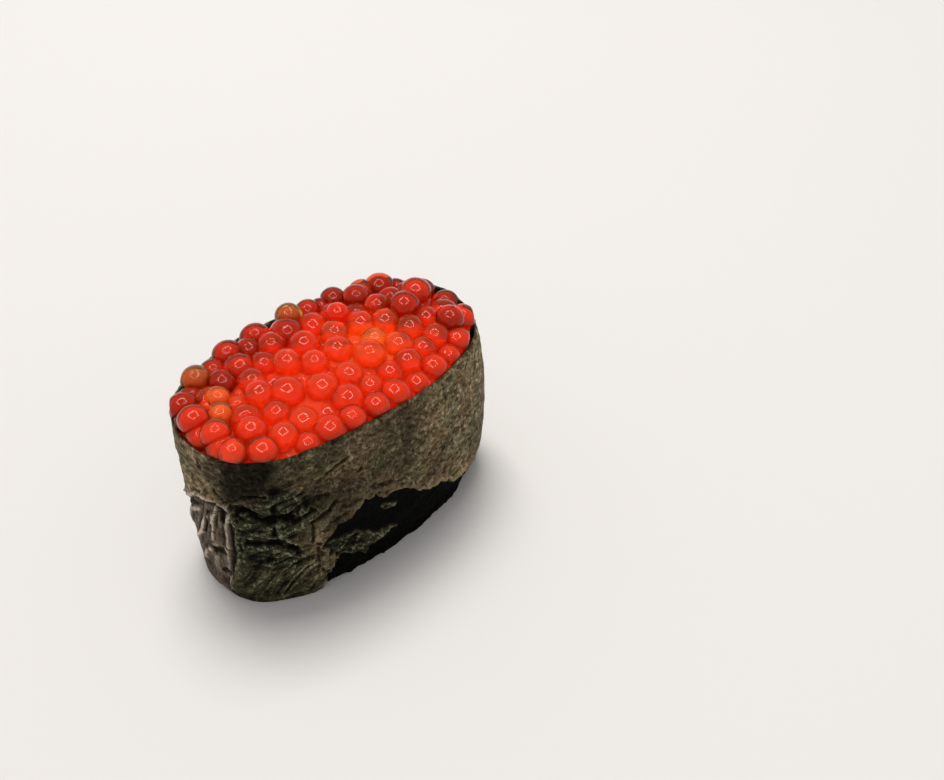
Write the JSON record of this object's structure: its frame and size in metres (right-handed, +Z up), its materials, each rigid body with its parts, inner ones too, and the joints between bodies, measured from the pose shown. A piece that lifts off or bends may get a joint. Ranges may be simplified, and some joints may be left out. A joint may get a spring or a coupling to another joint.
{
  "type": "gunkan sushi",
  "caption": "Oval gunkan sushi: a bed of rice inside a tall dried seaweed band, heaped with glossy orange-red salmon roe that domes a little over the band's rim.",
  "frame": {"origin": "centre of the box's bottom face, at the level of the rice bed's flat underside", "axes": "+X along the long side, +Y along the short side, +Z up"},
  "size_m": [0.06, 0.0336, 0.0389],
  "materials": {
    "nori": "dry, fibrous, slightly silky dark green-brown sheet, wrinkled where damp",
    "rice": "soft, slightly sticky cooked short-grain rice",
    "roe": "wet, glossy, translucent orange-red eggs"
  },
  "bodies": {
    "root": {"nori_wrap": "nori", "rice_bed": "rice", "roe_heap": "roe"}
  },
  "joints": []
}
